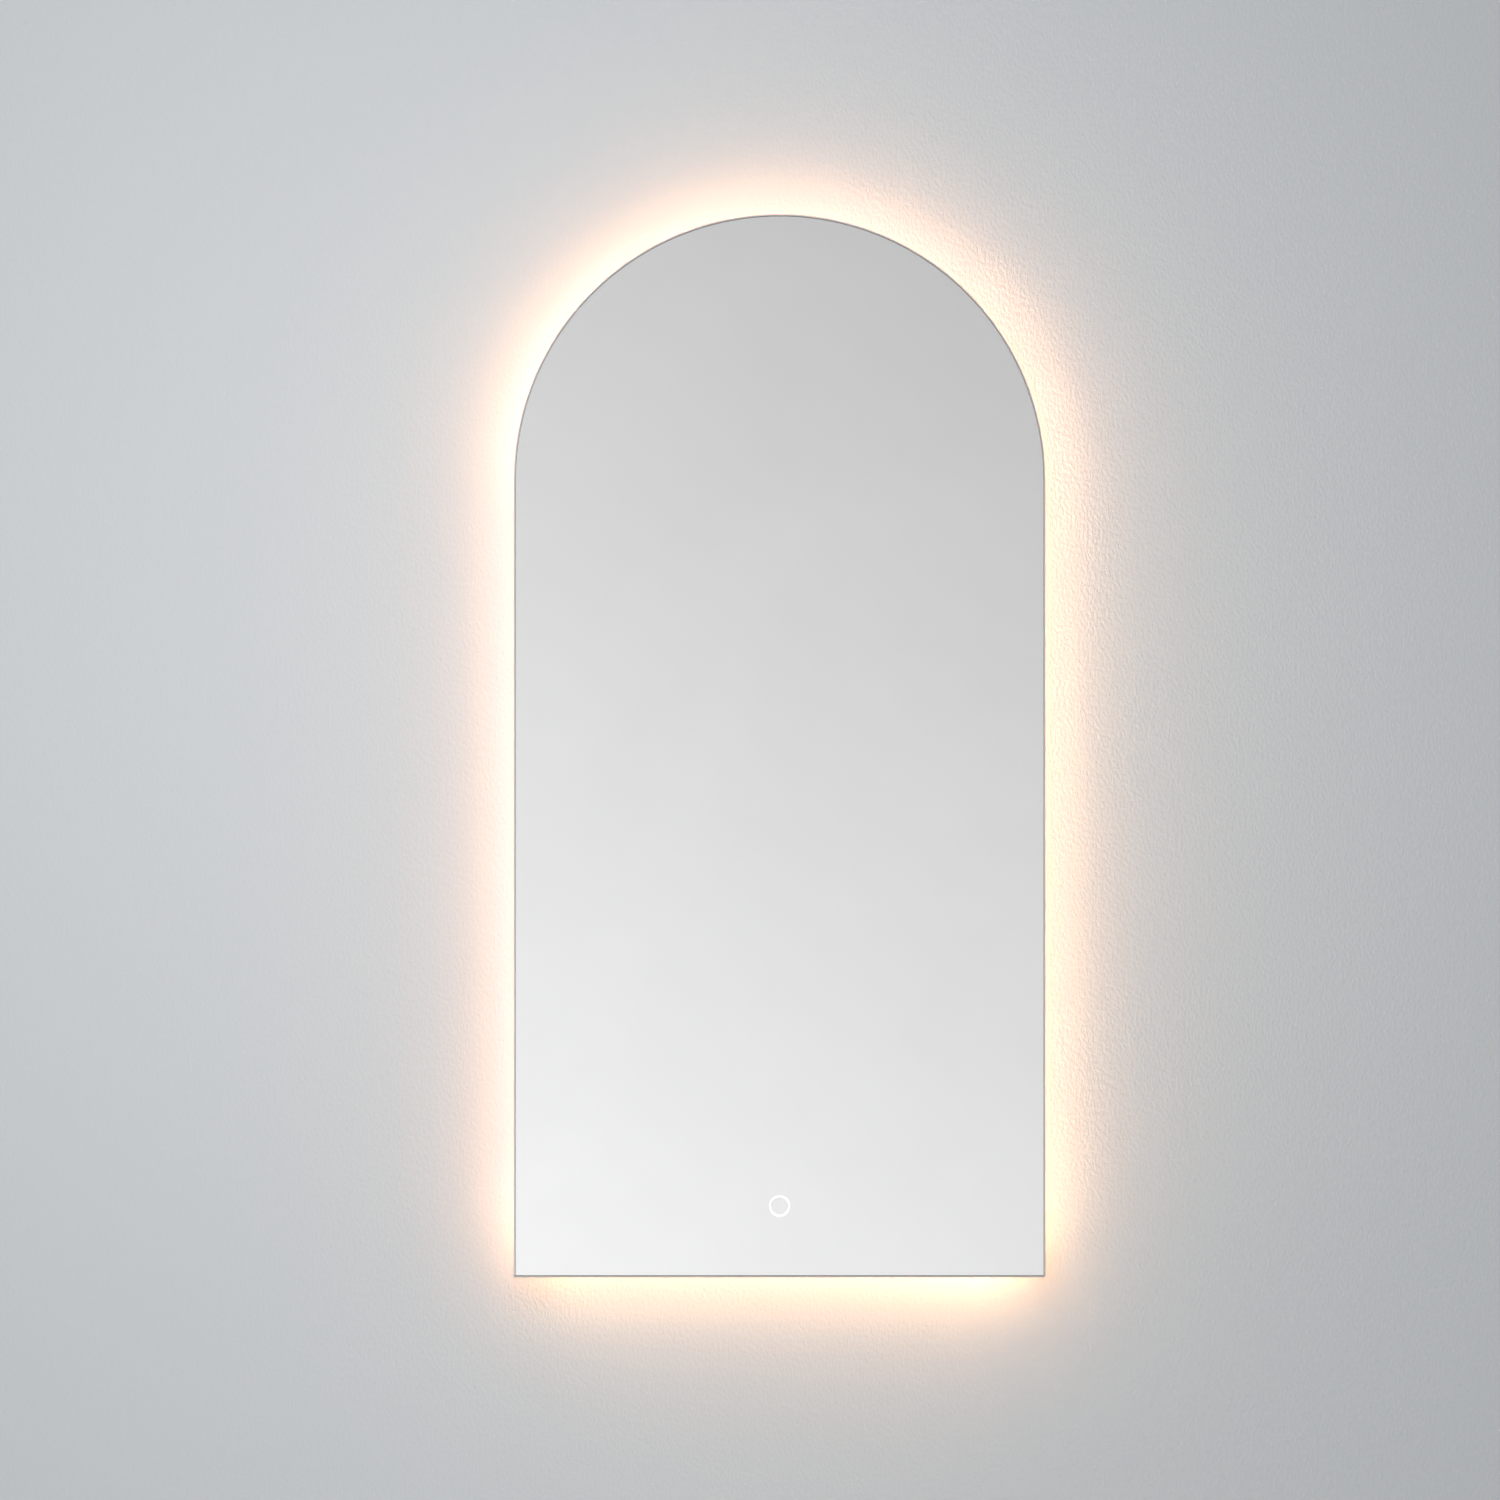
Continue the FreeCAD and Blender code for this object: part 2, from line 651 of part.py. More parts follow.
def make_loop_chips():
    chips = []
    straight = spring_z - web_z - strip_end_gap
    count = int(straight / chip_pitch)
    radius = web_x + strip_thickness
    for i in range(count):
        z = spring_z - (i + 0.5) * chip_pitch
        for side in (-1, 1):
            chips.append(placed_chip((side * radius, light_y, z), 90 - side * 90))
    arc_count = int(math.pi * radius / chip_pitch)
    for i in range(arc_count):
        angle = 180 * (i + 0.5) / arc_count
        bearing = math.radians(angle)
        middle = (radius * math.cos(bearing), light_y, spring_z + radius * math.sin(bearing))
        chips.append(placed_chip(middle, angle))
    return Part.makeCompound(chips)


def make_bottom_chips():
    count = int(2 * (bottom_strip_end - solder_length - chip_length) / chip_pitch)
    first = -chip_pitch * (count - 1) / 2
    return Part.makeCompound([placed_chip((first + i * chip_pitch, light_y, web_z - strip_thickness), -90)
                              for i in range(count)])


# ---- driver box ----
def make_box():
    tray = rounded_plate(box_width, box_height, box_corner, box_front, box_depth, box_z)
    hollow = rounded_plate(box_width - 2 * box_wall, box_height - 2 * box_wall, box_corner - box_wall,
                           box_floor, box_depth, box_z)
    bosses = [rod((x, box_floor, z), (0, 1, 0), box_depth - box_wall, boss_radius).common(tray)
              for x, z in lid_screws]
    ears = [box((x - ear_width / 2, hook_y, box_top - box_wall),
                (x + ear_width / 2, hook_y + ear_thickness, box_top + ear_rise)) for x, z in ear_screws]
    tray = joined([tray.cut(hollow)] + bosses + ears)
    tools = screw_holes(lid_screws, box_rim + 1, screw_length + 2)
    tools += screw_holes(ear_screws, hook_y + ear_thickness + 1, ear_thickness + 2)
    left, right, low = -box_width / 2 - 1, box_width / 2 - box_wall - 1, box_z - box_height / 2 - 1
    tools.append(rod((right, gland_y, gland_z), (1, 0, 0), box_wall + 2, gland_body))
    exits = [((left, switch_lead_y, demister_exit_z + demister_lead_spacing / 2), (1, 0, 0)),
             ((switch_lead_x, switch_lead_y + wire_pitch / 2, low), (0, 0, 1)),
             ((right, earth_y, earth_exit_z), (1, 0, 0))]
    tools += [rod(start, direction, box_wall + 2, wire_hole) for start, direction in exits]
    return tray.cut(tools)


def make_lid():
    lid = rounded_plate(box_width, box_height, box_corner, box_rim, lid_thickness, box_z)
    low = box_rim - lid_lip
    lips = []
    for inset in (2 * (box_wall + lid_lip_play), 4 * box_wall):
        width, height = box_width - inset, box_height - inset
        lips.append(rounded_plate(width, height, box_corner - box_wall, low, lid_lip, box_z))
    boss_room = [rod((x, low, z), (0, 1, 0), lid_lip, boss_radius + boss_play) for x, z in lid_screws]
    lid = joined([lid] + lips[0].cut(lips[1:] + boss_room).Solids)
    return lid.cut(screw_holes(lid_screws, box_rim + lid_thickness + 1, lid_thickness + lid_lip + 2))


def make_lid_screws():
    return Part.makeCompound([pan_screw(x, box_rim + lid_thickness, z) for x, z in lid_screws])


def make_ear_screws():
    return Part.makeCompound([pan_screw(x, hook_y + ear_thickness, z, ear_thickness + sheet + 1)
                              for x, z in ear_screws])


def make_box_tape():
    x, half = box_width / 2 - box_tape_end, box_tape_width / 2
    middles = [box_z + side * (box_height / 2 - box_tape_inset) for side in (-1, 1)]
    return Part.makeCompound([box((-x, backing_rear, z - half), (x, box_front, z + half)) for z in middles])


def make_driver():
    body = box((driver_left, box_floor, box_z - driver_height / 2),
               (driver_right, box_floor + driver_depth, box_z + driver_height / 2))
    edges = [edge for edge in body.Edges if edge.BoundBox.YMin > box_floor + 0.01]
    return body.makeFillet(driver_fillet, edges)


def make_terminal():
    top = box_floor + terminal_depth
    block = box((terminal_left, box_floor, gland_z - terminal_height / 2),
                (terminal_right, top, gland_z + terminal_height / 2))
    tools = []
    for pole in terminal_levels:
        for face, side in ((terminal_left, -1), (terminal_right, 1)):
            tools.append(rod((face + side, mains_lead_y, pole), (-side, 0, 0), pole_depth + 1, pole_bore))
            tools.append(rod((face - side * pole_depth, top + 1, pole), (0, -1, 0), pole_screw_depth + 1,
                             pole_screw_bore))
    return block.cut(tools)


def make_gland():
    """Rubber gland in the right-hand wall of the driver box, with an open bore for the supply cable."""
    wall = box_width / 2
    start = wall - box_wall - gland_inner
    body = rod((start, gland_y, gland_z), (1, 0, 0), gland_length, gland_body - hole_play)
    flanges = [rod((x, gland_y, gland_z), (1, 0, 0), gland_lip, gland_flange)
               for x in (wall, wall - box_wall - gland_lip)]
    bore = rod((start - 1, gland_y, gland_z), (1, 0, 0), gland_length + 2, gland_bore)
    return joined([body] + flanges).cut(bore)


# ---- demister ----
def make_pad():
    middle = pad_bottom + pad_height / 2
    return rounded_plate(pad_width, pad_height, pad_corner, backing_rear, pad_thickness, middle)


def make_element():
    """One flat heating track that runs to and fro across the pad, with both ends at the bottom left."""
    rear = backing_rear + pad_thickness
    low = pad_bottom + element_margin
    rows = int((pad_height - 2 * element_margin - 2 * element_pitch) / element_pitch)
    half = element_track / 2
    levels = [low + (2 + i) * element_pitch for i in range(rows + 1)]
    left, inner, right = track_ends[0], track_ends[1], element_reach
    runs = [(inner, right, z - half, z + half) for z in levels]
    for i in range(rows):
        x = right - element_track if i % 2 == 0 else inner
        runs.append((x, x + element_track, levels[i] - half, levels[i + 1] + half))
    runs.append((left, inner + element_track, levels[-1] - half, levels[-1] + half))
    runs.append((left, left + element_track, low, levels[-1] + half))
    runs.append((inner, inner + element_track, low, levels[0] + half))
    tracks = [box((x1, rear, z1), (x2, rear + element_thickness, z2)) for x1, x2, z1, z2 in runs]
    return joined(tracks)


# ---- touch switch ----
def make_cover():
    cover = rounded_plate(cover_width, cover_height, cover_corner, backing_rear, cover_depth, ring_z)
    hollow_width, hollow_height = cover_width - 2 * cover_wall, cover_height - 2 * cover_wall
    hollow = rounded_plate(hollow_width, hollow_height, cover_corner - cover_wall, backing_rear - 1,
                           cover_floor - backing_rear + 1, ring_z)
    x, z = cover_width / 2 - post_inset, cover_height / 2 - post_inset
    posts = [rod((i * x, cover_floor, ring_z + k * z), (0, -1, 0), board_standoff, post_radius)
             for i in (-1, 1) for k in (-1, 1)]
    cover = joined([cover.cut(hollow)] + posts)
    room = wire_radius + cover_slot_play
    low, high = switch_lead_y - room, switch_lead_y + wire_pitch + room
    entries = [(-cover_width, ring_z)] + [(0, level) for level in feed_levels]
    return cover.cut([box((x, low, z - room), (x + cover_width, high, z + room)) for x, z in entries])


def make_board():
    margin = cover_wall + board_play
    return rounded_plate(cover_width - 2 * margin, cover_height - 2 * margin, board_corner, board_front,
                         board_thickness, ring_z)


def make_touch_lights():
    lights = []
    half = touch_light_size / 2
    front = board_front - touch_light_height
    for i in range(touch_light_count):
        bearing = 2 * math.pi * i / touch_light_count
        x, z = ring_radius * math.cos(bearing), ring_z + ring_radius * math.sin(bearing)
        lights.append(box((x - half, front, z - half), (x + half, board_front, z + half)))
    return Part.makeCompound(lights)


def make_ring_lens():
    length = board_front - touch_light_height - lens_gap - backing_front
    half_stroke = ring_stroke / 2 - ring_play
    outer = rod((0, backing_front, ring_z), (0, 1, 0), length, ring_radius + half_stroke)
    inner = rod((0, backing_front - 1, ring_z), (0, 1, 0), length + 2, ring_radius - half_stroke)
    return outer.cut(inner)


def make_contact():
    return rod((0, backing_rear, ring_z), (0, 1, 0), board_front - backing_rear, contact_radius)


# ---- wires ----
def switch_lead():
    exit_z = box_z - switch_exit_drop
    cover_x = -cover_width / 2 + cover_wall - lead_reach
    return [(driver_left, switch_lead_y, exit_z), (switch_lead_x, switch_lead_y, exit_z),
            (switch_lead_x, switch_lead_y, ring_z), (cover_x, switch_lead_y, ring_z)]


def strip_feed(number):
    """From the switch to the chassis corner, through a grommet, then along the light channel to a strip."""
    level = feed_levels[number]
    x = feed_xs[number]
    drop = diffuser_leg_gap + wire_radius
    on_strip = strip_thickness + wire_radius + wire_play
    deep = light_y - wire_pitch / 2
    route = [(cover_width / 2 - cover_wall + lead_reach, switch_lead_y, level), (x, switch_lead_y, level),
             (x, deep, web_z + feed_slope_rise), (x, deep, web_z - drop)]
    if number == 0:
        return route + [(web_x + drop, deep, web_z - drop),
                        (web_x + on_strip, deep, web_z + strip_end_gap + solder_length)]
    return route + [(bottom_strip_end - solder_length, deep, web_z - on_strip)]


def demister_lead(number):
    """From the driver's end, down to the backing and up to one end of the heating track."""
    x = demister_lead_x + number * demister_lead_spacing
    level = demister_exit_z + number * demister_lead_spacing
    y = demister_lead_y
    end = (track_ends[number] + element_track / 2, y, pad_bottom + element_margin)
    return [(driver_left, switch_lead_y, level), (x, switch_lead_y, level),
            (x, y, level + demister_lead_slope), (x, y, pad_bottom - demister_lead_run), end]


def make_positive_wires():
    feeds = [tube(strip_feed(number), feed_bend) for number in (0, 1)]
    return Part.makeCompound([tube(switch_lead()), tube(demister_lead(0))] + feeds)


def make_negative_wires():
    feeds = [tube(shifted(strip_feed(number), stacked), feed_bend) for number in (0, 1)]
    return Part.makeCompound([tube(shifted(switch_lead(), stacked)), tube(demister_lead(1))] + feeds)


def make_mains_leads():
    length = terminal_left + mains_lead_end - driver_right
    return Part.makeCompound([rod((driver_right, mains_lead_y, z), (1, 0, 0), length, mains_lead_radius)
                              for z in terminal_levels[:-1]])


def make_earth_wire():
    """From the terminal block's top pole, out of the box's side and up to the lug on the crossbar."""
    between = (driver_right + terminal_left) / 2
    pole = terminal_levels[-1]
    return tube([(terminal_left + mains_lead_end, mains_lead_y, pole), (between, mains_lead_y, pole),
                 (between, earth_y, earth_exit_z), (earth_x, earth_y, earth_exit_z),
                 (earth_x, earth_y, earth_z - lug_ring - lug_barrel_length / 2)])


def make_earth_lug():
    """Ring lug on the lower crossbar, with a barrel that grips the earth wire."""
    ring = rod((earth_x, hook_y, earth_z), (0, 1, 0), lug_thickness, lug_ring)
    low = earth_z - lug_ring - lug_barrel_length
    tongue = box((earth_x - lug_barrel, hook_y, low + lug_barrel_length / 2),
                 (earth_x + lug_barrel, hook_y + lug_tongue, earth_z))
    barrel = rod((earth_x, earth_y, low), (0, 0, 1), lug_barrel_length, lug_barrel)
    bore = rod((earth_x, earth_y, low - 1), (0, 0, 1), lug_barrel_length / 2 + 1, wire_radius)
    hole = screw_holes(earth_screws, hook_y + lug_thickness + 1, lug_thickness + 2)
    return joined([ring, tongue, barrel]).cut([bore] + hole)


def make_clips():
    """Stick-on clips that hold a stacked pair of wires off the backing."""
    low = switch_lead_y - wire_radius - wire_play
    top = switch_lead_y + wire_pitch + wire_radius + clip_rise
    slot = wire_radius + wire_play
    across = slot + clip_prong
    foot = box((-clip_length / 2, backing_rear, -clip_foot_width / 2),
               (clip_length / 2, backing_rear + clip_foot, clip_foot_width / 2))
    body = box((-clip_length / 2, backing_rear, -across), (clip_length / 2, top, across))
    clip = joined([foot, body]).cut(box((-clip_length, low, -slot), (clip_length, top + 1, slot)))
    upright = clip.copy()
    upright.rotate(Vector(0, 0, 0), y_axis, 90)
    clips = [upright.translated(Vector(switch_lead_x, 0, (box_z - box_height / 2 + ring_z) / 2))]
    places = [((switch_lead_x - cover_width / 2) / 2, ring_z)]
    run = (feed_xs[-1] - cover_width / 2) / feed_clip_count
    along = [cover_width / 2 + run * (i + 0.5) for i in range(feed_clip_count)]
    places += [(x, level) for x in along for level in feed_levels]
    return Part.makeCompound(clips + [clip.translated(Vector(x, 0, z)) for x, z in places])


def make_grommets():
    grommets = []
    for x in feed_xs:
        low = web_z - grommet_lip
        length = sheet + 2 * grommet_lip
        body = rod((x, light_y, low), (0, 0, 1), length, grommet_body)
        lips = [rod((x, light_y, z), (0, 0, 1), grommet_lip, grommet_flange) for z in (low, web_z + sheet)]
        bore = rod((x, light_y, low - 1), (0, 0, 1), length + 2, grommet_bore)
        grommets.append(joined([body] + lips).cut(bore))
    return Part.makeCompound(grommets)


# ---- main ----
def parts():
    side, corner, splice = make_side(), make_corner_plate(), make_splice_plate()
    diffuser = mitred_side(diffuser_section)
    return {
        "wall_bar": make_wall_bar(),
        "mirror_glass": make_glass(),
        "silver_backing": make_backing(),
        "bonding_tape": make_bonding_tape(),
        "chassis_arch": make_arch(),
        "chassis_side_left": mirrored(side),
        "chassis_side_right": side,
        "chassis_bottom": make_bottom(),
        "corner_plate_left": mirrored(corner),
        "corner_plate_right": corner,
        "splice_plate_left": mirrored(splice),
        "splice_plate_right": splice,
        "chassis_screws": make_chassis_screws(),
        "wall_bumpers": make_bumpers(),
        "upper_crossbar": make_crossbar(upper_bar_level, upper_bar_height, hook_screws),
        "lower_crossbar": make_crossbar(lower_bar_level, lower_bar_height, ear_screws + earth_screws),
        "crossbar_tape": make_crossbar_tape(),
        "crossbar_rivets": make_rivets(),
        "hook_bar": make_hook_bar(),
        "hook_end_caps": make_hook_caps(),
        "hook_bar_screws": make_hook_screws(),
        "light_strip_loop": make_loop_strip(),
        "light_strip_bottom": make_bottom_strip(),
        "light_chips_loop": make_loop_chips(),
        "light_chips_bottom": make_bottom_chips(),
        "diffuser_arch": arch_run(diffuser_section),
        "diffuser_left": mirrored(diffuser),
        "diffuser_right": diffuser,
        "diffuser_bottom": mitred_bottom(diffuser_section),
        "driver_box": make_box(),
        "driver_box_lid": make_lid(),
        "lid_screws": make_lid_screws(),
        "box_ear_screws": make_ear_screws(),
        "box_tape": make_box_tape(),
        "light_driver": make_driver(),
        "terminal_block": make_terminal(),
        "cable_gland": make_gland(),
        "mains_leads": make_mains_leads(),
        "demister_pad": make_pad(),
        "demister_element": make_element(),
        "touch_cover": make_cover(),
        "touch_board": make_board(),
        "touch_board_lights": make_touch_lights(),
        "touch_ring_lens": make_ring_lens(),
        "touch_contact": make_contact(),
        "positive_wires": make_positive_wires(),
        "negative_wires": make_negative_wires(),
        "earth_wire": make_earth_wire(),
        "earth_lug": make_earth_lug(),
        "earth_screw": pan_screw(earth_x, hook_y + lug_thickness, earth_z, sheet + lug_thickness + 1),
        "wire_clips": make_clips(),
        "wire_grommets": make_grommets(),
    }


def main():
    os.makedirs("parts", exist_ok=True)
    for node, shape in parts().items():
        solids = shape.Solids
        state = "ok" if all(solid.isValid() and solid.Volume > 0 for solid in solids) else "BAD"
        print(f"{node:22s} solids {len(solids):3d}  volume {shape.Volume / 1000:9.3f} cm3  {state}")
        shape.exportStep(f"parts/{node}.step")


main()
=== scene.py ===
import math

import bmesh
import bpy
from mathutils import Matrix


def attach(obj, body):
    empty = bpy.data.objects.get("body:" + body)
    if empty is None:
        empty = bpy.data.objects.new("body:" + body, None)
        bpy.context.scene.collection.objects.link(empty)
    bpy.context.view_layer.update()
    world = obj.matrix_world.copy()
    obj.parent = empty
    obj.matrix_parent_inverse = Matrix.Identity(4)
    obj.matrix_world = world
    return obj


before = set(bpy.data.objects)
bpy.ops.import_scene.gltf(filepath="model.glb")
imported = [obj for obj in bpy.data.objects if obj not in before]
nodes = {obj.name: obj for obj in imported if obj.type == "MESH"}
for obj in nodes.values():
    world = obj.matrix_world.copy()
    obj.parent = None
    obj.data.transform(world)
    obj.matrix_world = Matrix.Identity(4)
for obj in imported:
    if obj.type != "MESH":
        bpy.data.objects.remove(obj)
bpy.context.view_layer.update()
scene = bpy.context.scene

# The object's own measures, in metres, in the row frame
arch_centre_z = 0.060
outer_face = 0.220              # distance of the lit diffuser faces from the centre line
bottom_face = -0.662
mirror_centre_z = -0.190
glass_half_width = 0.250
glass_bottom = -0.690
glass_front_depth = 0.0385      # from the wall to the front of the glass
silver_front_y = -0.0334

# The light that each hidden strip gives: its strength, its warm colour, the axis and the stretch along which
# it swells, and how. Two strips meet at each bottom corner, so the light is strongest there.
side_run = (bottom_face, arch_centre_z)
side_swell = ((0.0, 2.0), (0.03, 1.35), (0.07, 1.1), (0.12, 1.0))
bottom_run = (-outer_face, outer_face)
bottom_swell = ((0.0, 1.7), (0.06, 1.15), (0.12, 0.95), (0.5, 1.0), (0.75, 1.12), (0.88, 1.25),
                (0.94, 1.6), (1.0, 2.8))
arch_run = (arch_centre_z, arch_centre_z + outer_face)
even_swell = ((0.0, 1.0), (1.0, 1.0))
glow = {"left": (27.0, (1.0, 0.518, 0.264), "Z", side_run, side_swell),
        "right": (34.6, (1.0, 0.550, 0.266), "Z", side_run, side_swell),
        "bottom": (38.0, (1.0, 0.538, 0.258), "X", bottom_run, bottom_swell),
        "arch": (40.5, (1.0, 0.527, 0.264), "Z", arch_run, even_swell)}
stray_glow = 1.2                # strength of the light from the diffusers' other faces
between_chips = 0.94            # share of the light halfway between two chips


# ---------------------------------------------------------------- node helpers

def add(tree, kind, inputs=None, **settings):
    """One shader node, with its settings made and its inputs set or linked."""
    made = tree.nodes.new("ShaderNode" + kind)
    for key, value in settings.items():
        setattr(made, key, value)
    feed(tree, made, inputs or {})
    return made


def feed(tree, made, inputs):
    """Sets a node's inputs to values, or links them to other nodes' outputs."""
    for socket, value in inputs.items():
        if isinstance(value, bpy.types.NodeSocket):
            tree.links.new(value, made.inputs[socket])
        else:
            made.inputs[socket].default_value = value


def calc(tree, operation, *values):
    return add(tree, "Math", dict(enumerate(values)), operation=operation).outputs[0]


def hypotenuse(tree, *legs):
    squares = [calc(tree, "MULTIPLY", leg, leg) for leg in legs]
    return calc(tree, "SQRT", calc(tree, "ADD", *squares))


def ramp(tree, factor, stops):
    """A colour or grey ramp; each stop is a place and a grey value or a colour."""
    made = add(tree, "ValToRGB", {"Fac": factor})
    band = made.color_ramp
    while len(band.elements) < len(stops):
        band.elements.new(0.5)
    for element, (where, value) in zip(band.elements, stops):
        element.position = where
        grey = isinstance(value, (int, float))
        element.color = (value, value, value, 1.0) if grey else (*value, 1.0)
    return made.outputs["Color"]


def spread(tree, factor, low, high, to_low=0.0, to_high=1.0, kind="SMOOTHSTEP"):
    """Maps the stretch from low to high onto the one from to_low to to_high, and holds it at the ends."""
    inputs = {"Value": factor, "From Min": low, "From Max": high, "To Min": to_low, "To Max": to_high}
    return add(tree, "MapRange", inputs, interpolation_type=kind).outputs["Result"]


def object_xyz(tree):
    """The three coordinates of a place on the object."""
    return add(tree, "SeparateXYZ", {"Vector": add(tree, "TexCoord").outputs["Object"]}).outputs


def place(tree, stretch=(1.0, 1.0, 1.0), turn=(0.0, 0.0, 0.0)):
    """Places on the object, scaled and turned for a pattern."""
    where = add(tree, "TexCoord").outputs["Object"]
    mapping = add(tree, "Mapping", {"Vector": where, "Scale": stretch, "Rotation": turn})
    return mapping.outputs["Vector"]


def around_arch(tree, across, along):
    """Places on the arch, as distance from its centre, depth and length round it."""
    x, y, z = object_xyz(tree)
    z = calc(tree, "SUBTRACT", z, arch_centre_z)
    run = calc(tree, "MULTIPLY", calc(tree, "ARCTAN2", z, x), outer_face)
    inputs = {"X": calc(tree, "MULTIPLY", hypotenuse(tree, x, z), across),
              "Y": calc(tree, "MULTIPLY", y, across),
              "Z": calc(tree, "MULTIPLY", run, along)}
    return add(tree, "CombineXYZ", inputs).outputs["Vector"]


# ------------------------------------------------------------- pattern makers
# Each returns a function that draws the pattern in a tree and gives its grey value.

def grain(scale, detail=4.0, roughness=0.55):
    """Cloudy noise."""
    def draw(tree):
        inputs = {"Vector": place(tree), "Scale": scale, "Detail": detail, "Roughness": roughness}
        return add(tree, "TexNoise", inputs).outputs["Fac"]
    return draw


def brushed(across, along, axis):
    """Fine draw lines that run along one axis, or round the arch."""
    def draw(tree):
        if axis == "arch":
            where = around_arch(tree, across, along)
        else:
            where = place(tree, tuple(along if letter == axis else across for letter in "xyz"))
        inputs = {"Vector": where, "Scale": 1.0, "Detail": 3.0, "Roughness": 0.6}
        return add(tree, "TexNoise", inputs).outputs["Fac"]
    return draw


def cells(scale, feature="F1", distance="EUCLIDEAN"):
    """Small cells, as in foam, or the lines between them."""
    def draw(tree):
        made = add(tree, "TexVoronoi", {"Vector": place(tree), "Scale": scale},
                   feature=feature, distance=distance)
        return made.outputs["Distance"]
    return draw


def spangle(scale):
    """Flat patches, each with its own grey, as zinc crystals have."""
    def draw(tree):
        made = add(tree, "TexVoronoi", {"Vector": place(tree), "Scale": scale})
        return add(tree, "SeparateColor", {"Color": made.outputs["Color"]}).outputs[0]
    return draw


def embossed(pitch):
    """The small raised grid of a safety film."""
    def draw(tree):
        split = add(tree, "SeparateXYZ", {"Vector": place(tree, turn=(0.0, math.radians(45), 0.0))})
        rate = 2 * math.pi / pitch
        waves = [calc(tree, "SINE", calc(tree, "MULTIPLY", split.outputs[axis], rate)) for axis in "XZ"]
        return spread(tree, calc(tree, "MULTIPLY", *waves), -1.0, 1.0, kind="LINEAR")
    return draw


def rolled(scale):
    """The skin of rolled paint, drawn out a little downward and deeper to the right."""
    left, right, left_depth, middle = -0.4, 0.35, 0.4, 0.5

    def draw(tree):
        inputs = {"Vector": place(tree, (1.0, 1.0, 0.6)), "Scale": scale, "Detail": 3.0, "Roughness": 0.55}
        skin = add(tree, "TexNoise", inputs).outputs["Fac"]
        depth = spread(tree, object_xyz(tree)["X"], left, right, left_depth, 1.0)
        return calc(tree, "MULTIPLY_ADD", calc(tree, "SUBTRACT", skin, middle), depth, middle)
    return draw


def striped(pitch, turn):
    """Soft bands, as on two-coloured insulation."""
    node_unit = 0.05            # a wave texture of scale 1 counts in twentieths

    def draw(tree):
        inputs = {"Vector": place(tree, turn=turn), "Scale": node_unit / pitch * 2 * math.pi}
        return add(tree, "TexWave", inputs, wave_type="BANDS", bands_direction="X").outputs["Fac"]
    return draw


# ------------------------------------------------------------------ materials

def material(name, pattern, dark, light, rough, relief=0.0, depth=0.0002, edges=(0.3, 0.7), **sockets):
    """A surface whose colour, roughness and relief all follow one pattern."""
    made = bpy.data.materials.new(name)
    made.use_nodes = True
    tree = made.node_tree
    shader = tree.nodes["Principled BSDF"]
    value = pattern(tree)
    shader_inputs = {"Base Color": ramp(tree, value, [(edges[0], dark), (edges[1], light)]),
                     "Roughness": spread(tree, value, edges[0], edges[1], rough[0], rough[1], "LINEAR")}
    if relief:
        inputs = {"Height": value, "Strength": relief, "Distance": depth}
        shader_inputs["Normal"] = add(tree, "Bump", inputs).outputs["Normal"]
    feed(tree, shader, shader_inputs)
    for socket, constant in sockets.items():
        shader.inputs[socket.replace("_", " ")].default_value = constant
    return made


def lit_opal(name, strength, color, axis, run, swell):
    """Opal plastic that the strip behind it lights, a little unevenly between the chips. A ramp holds no more
    than 1, so the strength is the peak's, and the ramp gives each place its share of that."""
    made = material(name, grain(900.0), (0.92, 0.90, 0.86), (0.97, 0.95, 0.91), (0.25, 0.32))
    tree = made.node_tree
    shader = tree.nodes["Principled BSDF"]
    peak = max(share for _, share in swell)
    shader.inputs["Emission Strength"].default_value = strength * peak
    dim = tuple(between_chips * part for part in color)
    uneven = ramp(tree, grain(60.0, 1.0)(tree), [(0.3, dim), (0.7, color)])
    along = spread(tree, object_xyz(tree)[axis], *run, kind="LINEAR")
    share = ramp(tree, along, [(where, value / peak) for where, value in swell])
    scaled = add(tree, "VectorMath", {0: uneven, "Scale": share}, operation="SCALE")
    feed(tree, shader, {"Emission Color": scaled.outputs[0]})
    return made


def aluminium(name, axis):
    return material(name, brushed(1400.0, 9.0, axis), (0.66, 0.67, 0.685), (0.80, 0.81, 0.82), (0.30, 0.44),
                    relief=0.25, depth=0.00006, Metallic=1.0)


def zinc(name, scale):
    return material(name, spangle(scale), (0.64, 0.65, 0.65), (0.76, 0.765, 0.75), (0.26, 0.42),
                    relief=0.05, depth=0.00005, edges=(0.0, 1.0), Metallic=1.0)


def moulded(name, color, rough=(0.42, 0.56), scale=1600.0, relief=0.18):
    dark = tuple(0.93 * part for part in color)
    return material(name, grain(scale, 6.0, 0.7), dark, color, rough, relief=relief, depth=0.00008)


def insulation(name, color):
    return moulded(name, color, (0.34, 0.46), 1200.0, 0.08)


